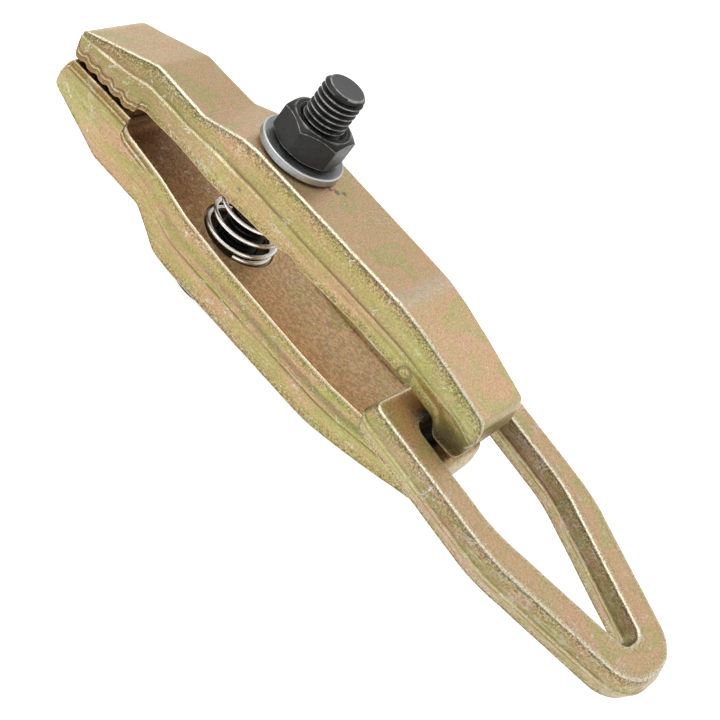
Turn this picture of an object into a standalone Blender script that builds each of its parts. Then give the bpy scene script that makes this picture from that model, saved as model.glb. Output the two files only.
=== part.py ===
"""Self-tightening pull clamp for straightening sheet metal and frames.

Two forged jaws grip with serrated noses. One bolt and nut draw them together against a
compression spring, and the crossbar of the pull ring wedges their rear lips apart, so a
harder pull bites harder.

Metres, +Z up. The origin is the centre of the bolt head's outer face, +Z runs up the bolt
to the nut, and +X runs from the bolt towards the pull ring.
"""

import math

import bmesh
import bpy
from mathutils import Matrix, Vector

MM = 0.001
GAP = 0.3 * MM  # running gap between neighbouring pieces

# Bolt, nut and washer: M14
BOLT_RADIUS = 7.0 * MM
ACROSS_FLATS = 21.0 * MM
CORNER_REACH = ACROSS_FLATS / 2 / math.cos(math.pi / 6)  # axis to a corner of the hexagon
CHAMFER_RISE = 1.2 * MM  # how far the end chamfer runs down the corners of the hexagon
CHAMFER_FACE = 10.1 * MM  # radius of the flat left inside that chamfer
HEAD_HEIGHT = 8.8 * MM
HEAD_PROUD = 5.0 * MM  # how far the head stands out of the lower jaw
TIP_CHAMFER = 1.1 * MM
NUT_HEIGHT = 10.7 * MM
NUT_TURN = math.radians(34.4)  # direction of one corner of the nut
TIP_ABOVE_NUT = 13.3 * MM
WASHER_RADIUS = 14.0 * MM
WASHER_BORE = 7.5 * MM
WASHER_THICK = 2.6 * MM
WASHER_EASE = 0.6 * MM
WASHER_GAP = 0.4 * MM  # play between the washer and the jaw

# Jaws: heights are measured outwards from the plane midway between them
JAW_BACK = 27.2 * MM  # height of the flat back that the washer sits on
MID_Z = HEAD_PROUD + JAW_BACK
EDGE_RADIUS = 1.5 * MM
DRAFT = math.radians(7.0)
FLASH_LAND = 0.5 * MM  # half the height of the band left by the trimmed flash
CORNER_RADIUS = 1.6 * MM  # nose and tail corners, seen from above
UPPER_HOLE_RADIUS = 8.25 * MM
LOWER_HOLE_RADIUS = 7.5 * MM
SEAT_HEIGHT = 10.0 * MM  # height of the floor of the faced spring seat
SEAT_RADIUS = 13.4 * MM
TOOTH_START = -72.8 * MM
TOOTH_PITCH = 5.3 * MM
TOOTH_DEPTH = 1.7 * MM
TOOTH_COUNT = 5
TOOTH_TIP = 0.45 * MM  # half the gap left at the teeth

# Outlines of a jaw along X: (x, height) in millimetres
BACK_LINE = [(-75.2, 8.5), (-74.5, 9.9), (-72.6, 10.9), (-47.8, 20.3), (-26.5, 20.3),
             (-11.0, 26.4), (-5.0, 27.2), (57.0, 27.2), (66.0, 26.0), (80.0, 23.2),
             (97.2, 19.1), (98.9, 16.4), (99.6, 11.6)]
LOWER_BACK_LINE = [(-75.2, 10.2), (-74.5, 11.8), (-72.6, 12.9), (-50.0, 21.2), (-28.6, 20.7),
                   (-14.6, 26.8), (-6.0, 27.2)] + BACK_LINE[7:]
PARTING_LINE = [(-75.2, 7.8), (-54.0, 11.0), (-46.0, 13.5), (-28.0, 13.8), (-12.0, 16.8),
                (0.0, 17.2), (57.0, 17.2), (66.0, 16.7), (80.0, 14.7), (92.0, 13.4), (99.6, 10.2)]
NOSE_LINE = [(-75.2, 7.1), (-74.6, 4.8), (-73.6, 1.5)]
THROAT_LINE = [(-46.4, 3.4), (-43.8, 4.9), (18.5, 8.7), (22.3, 10.4), (26.0, 9.2), (50.0, 10.4),
               (57.0, 10.4), (74.0, 9.4), (85.6, 7.3), (88.1, 3.7), (89.5, 2.7), (97.4, 2.2),
               (98.9, 4.4), (99.6, 8.8)]
LOWER_THROAT_LINE = [(-46.4, 3.4), (-43.8, 4.9), (5.0, 9.0), (44.0, 10.4)] + THROAT_LINE[6:]
HALF_WIDTH = [(-75.2, 14.35), (-48.5, 13.3), (-27.0, 13.8), (-11.0, 16.35), (56.0, 15.55),
              (99.6, 12.95)]

# Spring
SPRING_RADIUS = 11.5 * MM  # to the middle of the wire
WIRE_RADIUS = 0.7 * MM
SPRING_START = math.radians(-60.0)
SPRING_TURNS = 4.75
END_RISE = 2.1 * MM  # rise of the closed turn at each end

# Pull ring: its own X runs from the crossbar to the bight
RING_THICK = 11.5 * MM
RING_BULGE = 1.5 * MM  # how far the drafted sides stand out beyond the flat faces
RING_EASE = 1.2 * MM
RING_TURN = (math.radians(3.5), math.radians(3.5), math.radians(-4.2))
RING_PLACE = Vector((70.0 * MM, 3.0 * MM, MID_Z + 6.9 * MM))  # on the ring's upper face
# One half of the outline of its flat face: (x, y, corner radius) in millimetres
RING_OUTSIDE = [(4.7, 29.2, 5.5), (60.0, 29.2, 50.0), (112.5, 13.0, 14.0)]
RING_INSIDE = [(14.7, 19.4, 5.0), (53.0, 19.4, 40.0), (101.5, 4.4, 4.4)]

YELLOW_ZINC = ((0.62, 0.48, 0.25, 1.0), 0.42, 0.85)
BLACK_OXIDE = ((0.03, 0.03, 0.032, 1.0), 0.45, 0.7)
BRIGHT_ZINC = ((0.62, 0.64, 0.66, 1.0), 0.3, 1.0)
SPRING_STEEL = ((0.70, 0.71, 0.72, 1.0), 0.2, 1.0)


def clear_scene():
    for obj in list(bpy.data.objects):
        bpy.data.objects.remove(obj, do_unlink=True)


def material(name, look):
    """A Principled material from (colour, roughness, metallic)."""
    made = bpy.data.materials.new(name)
    made.use_nodes = True
    shader = made.node_tree.nodes["Principled BSDF"]
    shader.inputs["Base Color"].default_value = look[0]
    shader.inputs["Roughness"].default_value = look[1]
    shader.inputs["Metallic"].default_value = look[2]
    return made


def add_object(name, form, finish=None):
    """Turns a bmesh into an object with its faces pointing out."""
    bmesh.ops.recalc_face_normals(form, faces=form.faces)
    mesh = bpy.data.meshes.new(name)
    form.to_mesh(mesh)
    form.free()
    if finish:
        mesh.materials.append(finish)
    mesh.shade_smooth()
    mesh.set_sharp_from_angle(angle=math.radians(32))
    obj = bpy.data.objects.new(name, mesh)
    bpy.context.scene.collection.objects.link(obj)
    return obj


def cut(obj, cutter, operation="DIFFERENCE"):
    """Takes the cutter's volume out of the object, or keeps only what is inside it."""
    cutter.hide_render = True
    cutter.display_type = "WIRE"
    boolean = obj.modifiers.new(cutter.name, "BOOLEAN")
    boolean.operation = operation
    boolean.solver = "EXACT"
    boolean.object = cutter


def loft(form, rings, closed=False):
    """Skins a list of equal rings of points. An open loft is capped by strips across its ends."""
    rows = [[form.verts.new(point) for point in ring] for ring in rings]
    count = len(rows[0])
    pairs = list(zip(rows, rows[1:]))
    if closed:
        pairs.append((rows[-1], rows[0]))
    for row, following in pairs:
        for i in range(count):
            j = (i + 1) % count
            form.faces.new((row[i], row[j], following[j], following[i]))
    if not closed:
        for row in (rows[0], rows[-1]):
            for i in range(count // 2 - 1):
                form.faces.new((row[i], row[i + 1], row[count - 2 - i], row[count - 1 - i]))


def turned(profile, sides, turn=0.0):
    """A solid of revolution about Z. The (radius, z) points run from axis to axis, or round a
    ring's section when none of them is on the axis."""
    form = bmesh.new()
    rows = []
    for k in range(sides):
        angle = turn + 2 * math.pi * k / sides
        rows.append([form.verts.new((r * math.cos(angle), r * math.sin(angle), z))
                     for r, z in profile])
    solid = profile[0][0] == 0.0
    for k in range(sides):
        row, following = rows[k], rows[(k + 1) % sides]
        for i in range(len(profile) - solid):
            j = (i + 1) % len(profile)
            form.faces.new((row[i], row[j], following[j], following[i]))
    bmesh.ops.remove_doubles(form, verts=form.verts, dist=1e-7)
    return form


def prism(name, radius, low, high, sides, turn=0.0):
    """A cylinder or a hexagonal prism, used to cut or to trim."""
    profile = [(0.0, high), (radius, high), (radius, low), (0.0, low)]
    return add_object(name, turned(profile, sides, turn))


def value_at(line, x):
    """Height of an outline at x, in metres, by straight interpolation."""
    for (x0, y0), (x1, y1) in zip(line, line[1:]):
        if x <= x1:
            return y0 + (y1 - y0) * max(0.0, x - x0) / (x1 - x0)
    return line[-1][1]


def eased(line, reach):
    """The outline in metres, with each of its corners eased by a short parabola."""
    points = [Vector(point) * MM for point in line]
    made = [points[0]]
    for before, corner, after in zip(points, points[1:], points[2:]):
        into, out = before - corner, after - corner
        start = corner + into * min(0.45, reach / into.length)
        end = corner + out * min(0.45, reach / out.length)
        for t in (0.0, 0.5, 1.0):
            made.append(start.lerp(corner, t).lerp(corner.lerp(end, t), t))
    made.append(points[-1])
    return [(point.x, point.y) for point in made]


def gripping_line(throat):
    """The inner outline of a jaw: nose, teeth, throat, pocket and rear lip."""
    line = [(x * MM, height * MM) for x, height in NOSE_LINE]
    for tooth in range(TOOTH_COUNT):
        x = TOOTH_START + tooth * TOOTH_PITCH
        line += [(x, TOOTH_TIP), (x + 0.35 * TOOTH_PITCH, TOOTH_TIP),
                 (x + 0.62 * TOOTH_PITCH, TOOTH_TIP + TOOTH_DEPTH),
                 (x + 0.76 * TOOTH_PITCH, TOOTH_TIP + TOOTH_DEPTH)]
    return line + eased(throat, 1.6 * MM)


def jaw_section(back, parting, grip, half):
    """(y, height) points round a jaw: flat back and inner face, eased edges, and drafted sides
    that are widest at the parting line."""
    edge = min(EDGE_RADIUS, 0.3 * (back - parting), 0.3 * (parting - grip))
    bulge, land = (back - parting) * math.tan(DRAFT), min(FLASH_LAND, 0.3 * (back - parting))
    right = [(half - edge, back), (half, back - 0.7 * edge),
             (half + bulge, parting + land), (half + bulge, parting - land),
             (half, grip + 0.7 * edge), (half - edge, grip)]
    return right + [(-y, height) for y, height in reversed(right)]


def jaw(name, side, finish):
    """The upper jaw (side 1) or the lower jaw (side -1), whose nose is a little deeper."""
    back_line = eased(BACK_LINE if side > 0 else LOWER_BACK_LINE, 3.0 * MM)
    grip_line = gripping_line(THROAT_LINE if side > 0 else LOWER_THROAT_LINE)
    parting_line, width_line = eased(PARTING_LINE, 3.0 * MM), eased(HALF_WIDTH, 4.0 * MM)
    nose, tail = back_line[0][0], back_line[-1][0]
    rings = []
    for x in sorted({round(x, 4) for x, _ in back_line + grip_line}):
        half = value_at(width_line, x)
        from_corner = min(CORNER_RADIUS, max(0.0, CORNER_RADIUS - min(x - nose, tail - x)))
        half -= CORNER_RADIUS - math.sqrt(CORNER_RADIUS**2 - from_corner**2)
        parting = value_at(parting_line, x)
        back, grip = value_at(back_line, x), value_at(grip_line, x)
        section = jaw_section(back, parting, grip, half)
        rings.append([(x, y, MID_Z + side * height) for y, height in section])
    form = bmesh.new()
    loft(form, rings)
    obj = add_object(name, form, finish)
    radius = UPPER_HOLE_RADIUS if side > 0 else LOWER_HOLE_RADIUS
    low, high = sorted((MID_Z, MID_Z + side * 2 * JAW_BACK))
    cut(obj, prism(name + "_bolt_hole", radius, low, high, 32))
    low, high = sorted((MID_Z, MID_Z + side * SEAT_HEIGHT))
    cut(obj, prism(name + "_spring_seat", SEAT_RADIUS, low, high, 40))
    if side < 0:
        corner = CORNER_REACH + GAP / math.cos(math.pi / 6)
        cut(obj, prism(name + "_head_pocket", corner, -HEAD_HEIGHT, HEAD_HEIGHT + GAP, 6))
    return obj


def nut_base():
    """Height of the nut's lower face."""
    return MID_Z + JAW_BACK + WASHER_GAP + WASHER_THICK + GAP


def clamp_bolt(finish):
    """Hex head, shank and chamfered tip in one piece."""
    tip = nut_base() + NUT_HEIGHT + TIP_ABOVE_NUT
    blank = [(0.0, 0.0), (CHAMFER_FACE, 0.0), (CORNER_REACH + GAP, CHAMFER_RISE + GAP / 2),
             (CORNER_REACH + GAP, HEAD_HEIGHT), (BOLT_RADIUS, HEAD_HEIGHT),
             (BOLT_RADIUS, tip - TIP_CHAMFER), (BOLT_RADIUS - TIP_CHAMFER, tip), (0.0, tip)]
    obj = add_object("clamp_bolt", turned(blank, 32), finish)
    cut(obj, prism("head_hexagon", CORNER_REACH, -tip, 2 * tip, 6), "INTERSECT")
    return obj


def hex_nut(finish):
    """Hexagon nut, chamfered at both faces."""
    low, bore, reach = nut_base(), BOLT_RADIUS + GAP, CORNER_REACH + GAP
    high, drop = low + NUT_HEIGHT, CHAMFER_RISE + GAP / 2
    blank = [(bore, low), (CHAMFER_FACE, low), (reach, low + drop), (reach, high - drop),
             (CHAMFER_FACE, high), (bore, high)]
    obj = add_object("hex_nut", turned(blank, 36), finish)
    cut(obj, prism("nut_hexagon", CORNER_REACH, 0.0, 2 * high, 6, NUT_TURN), "INTERSECT")
    return obj


def flat_washer(finish):
    low = MID_Z + JAW_BACK + WASHER_GAP
    high = low + WASHER_THICK
    section = [(WASHER_BORE, high), (WASHER_RADIUS - WASHER_EASE, high),
               (WASHER_RADIUS, high - WASHER_EASE), (WASHER_RADIUS, low), (WASHER_BORE, low)]
    return add_object("flat_washer", turned(section, 40), finish)


def spring_height(turn):
    """Height of the wire's centre above the lower seat after this many turns."""
    travel = 2 * (SEAT_HEIGHT - WIRE_RADIUS - GAP)
    middle = (travel - 2 * END_RISE) / (SPRING_TURNS - 2)
    if turn < 1:
        return END_RISE * turn * turn
    if turn > SPRING_TURNS - 1:
        return travel - END_RISE * (SPRING_TURNS - turn) ** 2
    return END_RISE + middle * (turn - 1)


def compression_spring(finish):
    """Round wire wound up and anticlockwise, with a closed turn at each end."""
    low = MID_Z - SEAT_HEIGHT + WIRE_RADIUS + GAP
    per_turn, around = 20, 6
    steps = round(SPRING_TURNS * per_turn)
    rings = []
    for step in range(steps + 1):
        turn = SPRING_TURNS * step / steps
        angle = SPRING_START + 2 * math.pi * turn
        out = Vector((math.cos(angle), math.sin(angle), 0.0))
        centre = out * SPRING_RADIUS + Vector((0.0, 0.0, low + spring_height(turn)))
        ring = []
        for k in range(around):
            a = 2 * math.pi * k / around
            ring.append(centre + out * (WIRE_RADIUS * math.cos(a))
                        + Vector((0.0, 0.0, WIRE_RADIUS * math.sin(a))))
        rings.append(ring)
    form = bmesh.new()
    loft(form, rings)
    return add_object("return_spring", form, finish)


def rounded_outline(half, steps):
    """(point, outward direction) pairs round a symmetric polygon, given half of its corners,
    each with its radius."""
    corners = half + [(x, -y, radius) for x, y, radius in reversed(half)]
    made = []
    for i, (x, y, radius) in enumerate(corners):
        corner, after = Vector((x, y)), corners[(i + 1) % len(corners)]
        into = (Vector(corners[i - 1][:2]) - corner).normalized()
        out = (Vector(after[:2]) - corner).normalized()
        bend = into.angle(out) / 2
        centre = corner + (into + out).normalized() * (radius / math.sin(bend))
        start = corner + into * (radius / math.tan(bend)) - centre
        sweep = start.angle_signed(corner + out * (radius / math.tan(bend)) - centre)
        for step in range(steps + 1):
            spoke = Matrix.Rotation(-sweep * step / steps, 2) @ start
            made.append(((centre + spoke) * MM, spoke.normalized()))
    return made


def pull_ring(finish):
    """Closed forged ring: straight crossbar, two legs and a tight bight."""
    outside, inside = rounded_outline(RING_OUTSIDE, 7), rounded_outline(RING_INSIDE, 7)
    # (distance out from the edge of the flat face, height) down one side of a section
    side = [(-RING_EASE, 0.0), (0.0, -0.7 * RING_EASE), (RING_BULGE, FLASH_LAND - RING_THICK / 2),
            (RING_BULGE, -FLASH_LAND - RING_THICK / 2), (0.0, 0.7 * RING_EASE - RING_THICK),
            (-RING_EASE, -RING_THICK)]
    rings = []
    for (outer, out), (inner, away) in zip(outside, inside):
        ring = [(*(outer + out * shift), height) for shift, height in side]
        ring += [(*(inner - away * shift), height) for shift, height in reversed(side)]
        rings.append(ring)
    form = bmesh.new()
    loft(form, rings, closed=True)
    obj = add_object("pull_ring", form, finish)
    obj.location = RING_PLACE
    obj.rotation_euler = RING_TURN
    return obj


def main():
    clear_scene()
    forged = material("yellow_zinc_forging", YELLOW_ZINC)
    black = material("black_oxide_steel", BLACK_OXIDE)
    jaw("upper_jaw", 1, forged)
    jaw("lower_jaw", -1, forged)
    pull_ring(forged)
    clamp_bolt(black)
    hex_nut(black)
    flat_washer(material("bright_zinc_steel", BRIGHT_ZINC))
    compression_spring(material("spring_wire", SPRING_STEEL))


main()
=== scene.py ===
"""Detailed visual model of a self-tightening pull clamp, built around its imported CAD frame."""

import math
from collections import namedtuple

import bmesh
import bpy
from mathutils import Matrix, Vector, noise


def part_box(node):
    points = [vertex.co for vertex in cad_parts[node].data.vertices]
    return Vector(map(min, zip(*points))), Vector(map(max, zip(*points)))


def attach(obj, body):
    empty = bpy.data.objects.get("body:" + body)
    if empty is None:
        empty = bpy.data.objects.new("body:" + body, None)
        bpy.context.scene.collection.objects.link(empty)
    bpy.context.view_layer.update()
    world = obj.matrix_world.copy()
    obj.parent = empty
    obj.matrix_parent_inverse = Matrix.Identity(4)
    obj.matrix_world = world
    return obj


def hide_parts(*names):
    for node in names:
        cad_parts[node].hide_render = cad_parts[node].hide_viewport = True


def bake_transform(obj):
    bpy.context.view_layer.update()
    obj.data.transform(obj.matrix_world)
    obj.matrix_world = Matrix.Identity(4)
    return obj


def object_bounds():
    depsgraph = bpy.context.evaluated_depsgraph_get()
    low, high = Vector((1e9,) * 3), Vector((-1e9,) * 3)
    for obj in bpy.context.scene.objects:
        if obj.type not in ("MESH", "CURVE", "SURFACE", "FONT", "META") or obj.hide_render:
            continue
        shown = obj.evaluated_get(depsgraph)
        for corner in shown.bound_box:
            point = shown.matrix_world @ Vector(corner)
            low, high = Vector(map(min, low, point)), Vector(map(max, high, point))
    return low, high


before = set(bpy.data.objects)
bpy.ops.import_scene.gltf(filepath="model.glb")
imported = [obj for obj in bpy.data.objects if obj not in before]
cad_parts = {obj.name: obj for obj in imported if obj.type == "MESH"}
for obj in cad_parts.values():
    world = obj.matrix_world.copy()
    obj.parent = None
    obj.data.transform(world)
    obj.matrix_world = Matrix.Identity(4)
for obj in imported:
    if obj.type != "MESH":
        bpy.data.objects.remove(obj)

CAD_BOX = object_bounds()
MM = 0.001

# ------------------------------------------------- dimensions, in millimetres
# Jaw outlines along X: (x, height above the plane midway between the jaws)
BACK_LINE = [(-75.2, 8.5), (-74.5, 9.9), (-72.6, 10.9), (-47.8, 20.3), (-26.5, 20.3),
             (-11.0, 26.4), (-5.0, 27.2), (57.0, 27.2), (66.0, 26.0), (80.0, 23.2),
             (97.2, 19.1), (98.9, 16.4), (99.6, 11.6)]
LOWER_BACK_LINE = [(-75.2, 10.2), (-74.5, 11.8), (-72.6, 12.9), (-50.0, 21.2), (-28.6, 20.7),
                   (-14.6, 26.8), (-6.0, 27.2)] + BACK_LINE[7:]
PARTING_LINE = [(-75.2, 7.8), (-54.0, 11.0), (-46.0, 13.5), (-28.0, 13.8), (-12.0, 16.8),
                (0.0, 17.2), (57.0, 17.2), (66.0, 16.7), (80.0, 14.7), (92.0, 13.4), (99.6, 10.2)]
NOSE_LINE = [(-75.2, 7.1), (-74.6, 4.8), (-73.6, 1.5)]
THROAT_LINE = [(-46.4, 3.4), (-43.8, 4.9), (18.5, 8.7), (22.3, 10.4), (26.0, 9.2), (50.0, 10.4),
               (57.0, 10.4), (74.0, 9.4), (85.6, 7.3), (88.1, 3.7), (89.5, 2.7), (97.4, 2.2),
               (98.9, 4.4), (99.6, 8.8)]
LOWER_THROAT_LINE = [(-46.4, 3.4), (-43.8, 4.9), (5.0, 9.0), (44.0, 10.4)] + THROAT_LINE[6:]
HALF_WIDTH = [(-75.2, 14.35), (-48.5, 13.3), (-27.0, 13.8), (-11.0, 16.35), (56.0, 15.55),
              (99.6, 12.95)]
# How far each of these lines is eased at its corners
BACK_EASE, PARTING_EASE, WIDTH_EASE, THROAT_EASE, TOOTH_EASE = 1.1, 3.0, 4.0, 1.6, 0.35
TOOTH_START, TOOTH_PITCH, TOOTH_COUNT = -72.8, 5.3, 5
TOOTH_TIP, TOOTH_DEPTH = 0.45, 1.7
STATION_STEP, LEAST_STEP = 1.3, 0.09  # between two sections of a jaw
END_STEPS = (0.15, 0.3, 0.5, 0.75, 1.0, 1.3, 1.6)  # sections close to the nose and the tail
END_ROUND = 1.6  # radius of the nose and tail corners, seen from above
TOP_EDGE, LOW_EDGE = 1.3, 0.9  # edge radii
DRAFT = math.tan(math.radians(7.0))
LUMPS = 0.08  # how deep a forged surface swells and sinks
BAND_HEIGHT = 4.5  # of the band below a top edge: pitted, and painted darker as a dark reflection
TORN_HEIGHT = 2.8  # of the torn flash and pitting above the rim of an inner face
TORN_LENGTH = 8.0  # over which the torn flash starts, going towards the nose
TORN_FROM = {1: -38.0, -1: -27.0}
CREASE_X, CREASE_REACH = -26.4, 0.8  # a bright line across the back at its sharp bend, a painted highlight
RAISED = 1.1  # how far the far side's rim stands out into the throat of the lower jaw
SEAT_HEIGHT, SEAT_RADIUS, SEAT_EASE = 10.0, 13.0, 0.6
JAW_HOLE = {1: 8.25, -1: 7.5}
GAP = 0.3  # between the bolt head or the spring and the jaw
THROUGH = 60.0  # further than any cut has to reach

ACROSS_FLATS = 21.0
HEX_FACE = 9.4  # radius of the flat left inside a hexagon's end chamfer
HEX_CHAMFER = math.tan(math.radians(32))
HEX_CORNER, HEX_WORN = 1.147, 1.14  # a broken corner's and a worn edge's reach, in half flats
HEAD_HEIGHT = 8.8
NUT_BORE = 7.1
NUT_TURN = math.radians(34.4)
PITCH, MAJOR, MINOR = 2.0, 6.92, 5.78  # thread
TIP_CHAMFER = 1.1

WIRE = 0.7
SPRING_RADIUS, SPRING_TURNS, END_RISE = 11.5, 4.75, 2.1
SPRING_START = math.radians(-60.0)
TURN_STEPS, WIRE_SIDES = 64, 14

RING_THICK, RING_BULGE, RING_EDGE = 11.5, 1.5, 1.15
RING_PLACE = Vector((70.0, 3.0, 6.9))  # height above the mid-plane
RING_TURN = (math.radians(3.5), math.radians(3.5), math.radians(-4.2))
# Half of each outline: (x, y, corner radius)
RING_OUTSIDE = [(4.7, 29.2, 3.6), (60.0, 29.2, 50.0), (112.5, 13.0, 14.0)]
RING_INSIDE = [(14.7, 19.4, 5.0), (53.0, 19.4, 40.0), (101.5, 4.4, 4.4)]
RING_SPACING = (26, 28, 8, 28, 26, 30)  # faces along each straight run
CORNER_STEPS = 12

UPPER_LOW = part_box("upper_jaw")[0]
LOWER_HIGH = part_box("lower_jaw")[1]
MID_Z = (UPPER_LOW.z + LOWER_HIGH.z) / 2  # in metres
BACK_Z = MID_Z / MM + 27.2  # the flat back of the upper jaw
PUNCH_X, PUNCH_HEIGHT = 71.0, 11.4  # the round mark on the near side of the upper jaw
PUNCH_MARK = (PUNCH_X, -15.05, MID_Z / MM + PUNCH_HEIGHT)
SMUDGES = (((14.8, -0.8, BACK_Z), 0.35), ((16.2, 1.2, BACK_Z), 0.7), ((17.6, 3.6, BACK_Z), 0.6),
           ((-2.4, -17.2, 46.0), 0.45))  # (centre, radius)

# The masks tell the materials what a point is: an edge painted bright (a painted highlight
# with some wear), the band below an edge (pitted, and a painted dark reflection), the dark cut of
# the trimmed flash, its bead (painted bright, a highlight with some wear), an inner face (which
# takes painted shade), that face's rim, and the painted dark reflection beside a bright edge.
MASKS = ("edge", "band", "flash", "bead", "inner", "lip", "under")
# A point of a section: its distance out, its height and its masks
Point = namedtuple("Point", ("out", "height", *MASKS), defaults=(0.0,) * len(MASKS))
# (angle, painted highlight with some wear, painted dark reflection beside it) round a top edge
TOP_SHINE_AND_WEAR = ((88, 0.55, 0.0), (70, 1.0, 0.0), (52, 1.0, 0.0), (34, 0.5, 0.2), (16, 0.0, 1.0),
            (4, 0.0, 0.9))
# (angle, rim, painted highlight) round the edge of an inner face
RIM_SHINE = ((0, 0.3, 0.0), (-22, 0.8, 0.7), (-45, 1.0, 1.0), (-68, 1.0, 0.9), (-88, 0.8, 0.3))
# (part of the half width, painted highlight with some wear) across a back, from its middle
BACK_POINTS = ((0.0, 0.0), (0.35, 0.0), (0.65, 0.0), (0.85, 0.0), (0.95, 0.0), (0.985, 0.1))


# ------------------------------------------------------------------ geometry
def eased(line, reach, parts=5):
    """The polyline with each corner replaced by a short parabola."""
    points = [Vector(point) for point in line]
    made = [points[0]]
    for before, corner, after in zip(points, points[1:], points[2:]):
        into, out = before - corner, after - corner
        start = corner + into * min(0.45, reach / into.length)
        end = corner + out * min(0.45, reach / out.length)
        for i in range(parts + 1):
            t = i / parts
            made.append(start.lerp(corner, t).lerp(corner.lerp(end, t), t))
    return made + [points[-1]]


def value_at(line, x):
    for a, b in zip(line, line[1:]):
        if x <= b.x:
            return a.y + (b.y - a.y) * max(0.0, x - a.x) / max(1e-9, b.x - a.x)
    return line[-1].y


def ramped(x, start, end):
    """0 at the start and 1 at the end, whichever of them is larger."""
    return min(1.0, max(0.0, (x - start) / (end - start)))


def finish_mesh(name, form, masks=None, sharp=35.0, lumps=0.0):
    """Makes an object of a bmesh in millimetres, with its masks as point attributes. The masks
    of a vertex may be fewer than MASKS, and edges sharper than this angle are shaded sharp."""
    bmesh.ops.recalc_face_normals(form, faces=form.faces)
    form.normal_update()
    for vert in form.verts:
        if lumps:
            swell = noise.noise(vert.co * 0.16) + 0.5 * noise.noise(vert.co * 0.45)
            vert.co -= vert.normal * (lumps * max(0.0, 1.0 + swell))
    for vert in form.verts:
        vert.co *= MM
    mesh = bpy.data.meshes.new(name)
    form.to_mesh(mesh)
    form.free()
    for i, mask in enumerate(MASKS if masks else ()):
        layer = mesh.attributes.new(mask, "FLOAT", "POINT")
        layer.data.foreach_set("value", [values[i] if i < len(values) else 0.0
                                         for values in masks])
    obj = bpy.data.objects.new(name, mesh)
    bpy.context.scene.collection.objects.link(obj)
    shade(obj, sharp)
    return obj


def shade(obj, sharp):
    obj.data.shade_smooth()
    obj.data.set_sharp_from_angle(angle=math.radians(sharp))


def skin(form, rows, closed_rows=True, closed_rings=True):
    """Quads between neighbouring rows of vertices."""
    count = len(rows[0])
    pairs = list(zip(rows, rows[1:])) + ([(rows[-1], rows[0])] if closed_rows else [])
    for row, following in pairs:
        for i in range(count if closed_rings else count - 1):
            j = (i + 1) % count
            form.faces.new((row[i], row[j], following[j], following[i]))


def turned(profile, sides, on_axis=False, shape=None, turn=0.0):
    """Revolves (radius, z) points about Z. shape(angle, i, radius, z) may move a point."""
    form = bmesh.new()
    rows = []
    for k in range(sides):
        angle = turn + 2 * math.pi * k / sides
        row = []
        for i, (radius, z) in enumerate(profile):
            if shape:
                radius, z = shape(angle, i, radius, z)
            row.append(form.verts.new((radius * math.cos(angle), radius * math.sin(angle), z)))
        rows.append(row)
    skin(form, rows, closed_rings=not on_axis)
    if on_axis:
        bmesh.ops.remove_doubles(form, verts=form.verts, dist=1e-5)
    return form


def cylinder(radius, low, high, sides=72):
    return turned([(0.0, low), (radius, low), (radius, high), (0.0, high)], sides, True)


def carve(obj, form, operation="DIFFERENCE"):
    """Cuts a solid, given as a bmesh in millimetres, out of the object and applies the cut."""
    cutter = finish_mesh("cutter", form)
    boolean = obj.modifiers.new("cut", "BOOLEAN")
    boolean.operation, boolean.solver, boolean.object = operation, "MANIFOLD", cutter
    graph = bpy.context.evaluated_depsgraph_get()
    made = bpy.data.meshes.new_from_object(obj.evaluated_get(graph))
    obj.modifiers.clear()
    obj.data = made
    bpy.data.objects.remove(cutter, do_unlink=True)


def top_edge(half, top, radius):
    """The rounded edge between a flat top and the flank at this half width: a painted highlight
    with some wear, and a painted dark reflection beside it.
    """
    made = []
    for angle, worn, dark in TOP_SHINE_AND_WEAR:
        a = math.radians(angle)
        made.append(Point(half - radius + radius * math.cos(a), top - radius + radius * math.sin(a),
                          edge=worn, band=0.6, under=dark))
    return made


# ---------------------------------------------------------------------- jaws
def gripping_line(throat):
    """The inner outline of a jaw: its nose, its teeth and then its throat."""
    line = list(NOSE_LINE)
    for tooth in range(TOOTH_COUNT):
        x = TOOTH_START + tooth * TOOTH_PITCH
        line += [(x, TOOTH_TIP), (x + 0.35 * TOOTH_PITCH, TOOTH_TIP),
                 (x + 0.62 * TOOTH_PITCH, TOOTH_TIP + TOOTH_DEPTH),
                 (x + 0.76 * TOOTH_PITCH, TOOTH_TIP + TOOTH_DEPTH)]
    return eased(line + throat[:1], TOOTH_EASE, 2)[:-1] + eased(throat, THROAT_EASE)


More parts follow.
